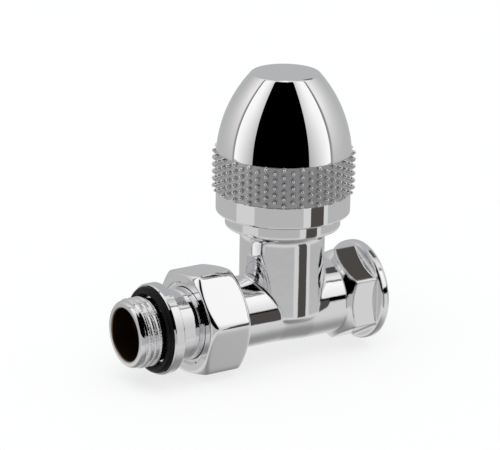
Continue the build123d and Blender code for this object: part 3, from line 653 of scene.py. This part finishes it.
def add_card(name, columns, low_stops, high_stops):
    """Light card through columns of (low corner, high corner), seen only in reflections."""
    bm = bmesh.new()
    uv_layer = bm.loops.layers.uv.new("UVMap")
    pairs = [(bm.verts.new(low), bm.verts.new(high)) for low, high in columns]
    for i, (a, b) in enumerate(zip(pairs, pairs[1:])):
        face = bm.faces.new((a[0], b[0], b[1], a[1]))
        for loop, (u, v) in zip(face.loops, ((i, 0), (i + 1, 0), (i + 1, 1), (i, 1))):
            loop[uv_layer].uv = (u / (len(pairs) - 1), v)
    mesh = bpy.data.meshes.new(name)
    bm.to_mesh(mesh)
    bm.free()
    mesh.materials.append(glow(name, low_stops, high_stops))
    card = bpy.data.objects.new(name, mesh)
    bpy.context.scene.collection.objects.link(card)
    card.visible_camera = False
    card.visible_shadow = False
    card.visible_diffuse = False


def turned_card(name, first, last, foot, head, low_stops, high_stops):
    """Card turned about the spindle axis from first to last degrees right of the camera.

    foot and head are its edges' (distance from the axis, height).
    """
    columns = []
    for i in range(CARD_STEPS + 1):
        turn = radians(first + (last - first) * i / CARD_STEPS) + CAMERA_YAW
        column = [(KNOB_X + reach * sin(turn), -reach * cos(turn), height) for reach, height in (foot, head)]
        columns.append(column)
    add_card(name, columns, low_stops, high_stops)


def grey(value, warmth=0.0):
    """A grey colour, redder where warmth is above 0 and bluer below."""
    return (value * (1 + warmth), value, value * (1 - warmth))


def room_light():
    """Grey room light that darkens towards the floor, and white where the camera sees it."""
    world = bpy.data.worlds.new("studio")
    bpy.context.scene.world = world
    world.use_nodes = True
    tree = world.node_tree
    background = tree.nodes["Background"]
    place = tree.nodes.new("ShaderNodeTexCoord")
    split = tree.nodes.new("ShaderNodeSeparateXYZ")
    tree.links.new(place.outputs["Generated"], split.inputs["Vector"])
    rise = tree.nodes.new("ShaderNodeMapRange")
    rise.inputs["From Min"].default_value = -1.0
    tree.links.new(split.outputs["Z"], rise.inputs["Value"])
    tree.links.new(ramp(tree, rise.outputs["Result"], ROOM_STOPS), background.inputs["Color"])
    white = tree.nodes.new("ShaderNodeBackground")
    white.inputs["Color"].default_value = (1, 1, 1, 1)
    choice = tree.nodes.new("ShaderNodeMixShader")
    path = tree.nodes.new("ShaderNodeLightPath")
    tree.links.new(path.outputs["Is Camera Ray"], choice.inputs["Fac"])
    tree.links.new(background.outputs["Background"], choice.inputs[1])
    tree.links.new(white.outputs["Background"], choice.inputs[2])
    tree.links.new(choice.outputs["Shader"], tree.nodes["World Output"].inputs["Surface"])


def white_floor():
    """White floor under the part, which keeps its soft shadow."""
    material, tree, principled = shader("floor")
    principled.inputs["Base Color"].default_value = (*FLOOR_COLOR, 1)
    principled.inputs["Roughness"].default_value = 1.0
    principled.inputs["Specular IOR Level"].default_value = 0.0
    principled.inputs["Emission Color"].default_value = (1, 1, 1, 1)
    path = tree.nodes.new("ShaderNodeLightPath")
    lift = tree.nodes.new("ShaderNodeMath")
    lift.operation = "MULTIPLY"
    lift.inputs[1].default_value = FLOOR_LIFT
    tree.links.new(path.outputs["Is Camera Ray"], lift.inputs[0])
    tree.links.new(lift.outputs["Value"], principled.inputs["Emission Strength"])
    bm = bmesh.new()
    bmesh.ops.create_grid(bm, x_segments=1, y_segments=1, size=FLOOR_SIZE)
    floor = add_mesh("floor", bm)
    floor.location.z = FLOOR_Z
    floor.data.materials.append(material)
    floor.visible_glossy = False


def build_studio():
    """White floor, grey room, a soft key light and the cards that the chrome reflects."""
    scene = bpy.context.scene
    room_light()
    white_floor()
    for card in TURNED_CARDS:
        turned_card(*card)
    add_card("dark_high", DARK_HIGH, plain(BROWN), plain(BROWN))

    sun_data = bpy.data.lights.new("key", "SUN")
    sun_data.energy = KEY_ENERGY
    sun_data.angle = KEY_SPREAD
    sun = bpy.data.objects.new("key", sun_data)
    sun.rotation_euler = KEY_TURN
    sun.visible_glossy = False
    scene.collection.objects.link(sun)
    scene.view_settings.view_transform = "Standard"


def plain(color):
    """Stops of one colour."""
    return [(0.0, color), (1.0, color)]


# Studio: stops are (place, colour), and cards state degrees right of the camera and metres
CARD_STEPS = 24
CARD_BLEND = 0.25
FLOOR_COLOR = (0.45, 0.45, 0.45)
FLOOR_LIFT = 0.66
FLOOR_SIZE = 6.0
KEY_ENERGY = 1.0
KEY_SPREAD = radians(75)
KEY_TURN = (radians(22), radians(-18), 0)
BLACK = (0.0, 0.0, 0.0)
BROWN = (0.075, 0.068, 0.064)
ROOM_STOPS = [
    (0.0, grey(0.22)), (0.075, grey(0.3)), (0.15, grey(0.62)), (0.275, grey(0.72)), (0.34, grey(0.485)),
    (0.5, grey(0.48, -0.02)), (1.0, grey(0.48, -0.02)),
]
WHITE_LOW = [(0.0, grey(0.42)), (0.5, grey(0.74)), (0.9, grey(1.02)), (1.0, grey(1.02))]
WHITE_HIGH = [(0.0, grey(0.64)), (0.3, grey(0.84)), (0.6, grey(1.0)), (1.0, grey(1.05))]
WARM_LOW = [(0.0, grey(0.3)), (0.06, grey(0.34)), (0.12, grey(0.5, 0.01)), (1.0, grey(0.48))]
WARM_HIGH = [
    (0.0, grey(0.18)), (0.07, grey(0.22)), (0.12, grey(0.88, 0.01)), (0.3, grey(0.82, 0.02)),
    (0.5, grey(0.7, 0.02)), (0.75, grey(0.58)), (1.0, grey(0.5)),
]
FRONT = 0.3
TOP = 0.95
FOOT = 0.006
NEAR = 0.1
LOW_NEAR = ((NEAR, -0.045), (NEAR, 0.0105))
LOW_FAR = ((FRONT, -0.2), (FRONT, -0.012))
TURNED_CARDS = [  # name, first, last, (distance, height) of the foot and of the head, stops at both
    ("black_front", -52.5, 41.0, (FRONT, FOOT), (FRONT, TOP), plain(BLACK), plain(BLACK)),
    ("white_right", 41.0, 82.0, (FRONT, FOOT), (FRONT, TOP), WHITE_LOW, WHITE_HIGH),
    ("white_left", -52.5, -90.0, (FRONT, FOOT), (FRONT, TOP), WHITE_LOW, WHITE_HIGH),
    ("warm_right", 82.0, 135.0, (FRONT, -0.02), (FRONT, TOP), WARM_LOW, WARM_HIGH),
    ("warm_left", -90.0, -138.0, (FRONT, -0.02), (FRONT, TOP), WARM_LOW, WARM_HIGH),
    ("over_front", -75.0, 30.0, (FRONT, TOP), (-0.3, TOP), plain(grey(1.05)), plain(grey(1.05))),
    ("gap_right", 50.0, 92.0, (0.137, 0.001), (0.137, 0.0255), plain(BLACK), plain(BLACK)),
    ("strip", 43.6, 66.8, *LOW_NEAR, plain(BROWN), plain(BROWN)),
    ("strip_edge", 31.5, 43.6, *LOW_NEAR, plain(grey(0.68)), plain(grey(0.68))),
    ("low_right", 66.0, 80.0, *LOW_FAR, plain(grey(0.68)), plain(grey(0.68))),
    ("low_left", -84.0, -48.0, *LOW_FAR, plain(grey(0.67)), plain(grey(0.67))),
]
DARK_HIGH = [  # (low corner, high corner) of each side
    ((0.2277, -0.0114, 0.2804), (0.1457, -0.0326, 0.3336)),
    ((0.1977, 0.1046, 0.2804), (0.1157, 0.0834, 0.3336)),
]

band = grip_band()
band.data.materials.append(grip_metal())
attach(band, "handle")
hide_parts("grip_band")

tail = union_tail()
tail.data.materials.append(tail_metal())
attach(tail, "tail")
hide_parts("union_tail")

cap_chrome = chrome("cap_chrome", (0.92, 0.92, 0.93), 0.015, 0.0000004)
cap = dome()
cap.data.materials.append(cap_chrome)
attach(cap, "handle")
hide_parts("handle_dome")
dress(cap_chrome, "handle_skirt")

nut = union_nut()
nut.data.materials.append(chrome("nut_chrome", (0.9, 0.9, 0.91), 0.03, 0.000006))
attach(nut, "nut")
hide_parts("union_nut")

dress(chrome("body_chrome", (0.9, 0.9, 0.91), 0.03, 0.00003, worn=0.0012), "valve_body")
dress(metal("inner_brass", (0.72, 0.52, 0.24), 0.2, 0.35), "bonnet", "gland_nut", "disc_holder", "spindle")
dress(metal("screw_steel", (0.5, 0.5, 0.51), 0.25, 0.4), "handle_screw", "handle_washer", "disc_screw")
dress(metal("spring_steel", (0.45, 0.45, 0.46), 0.25, 0.4), "nut_retaining_ring")
dress(rubber(), "tail_seal_ring", "seat_o_ring", "lower_spindle_ring", "upper_spindle_ring", "disc_gasket")
dress(plastic("gasket_fibre", (0.3, 0.09, 0.07), 0.8), "bonnet_gasket")
dress(plastic("hub_plastic", (0.05, 0.05, 0.055), 0.45), "handle_hub")

build_studio()
place_camera()
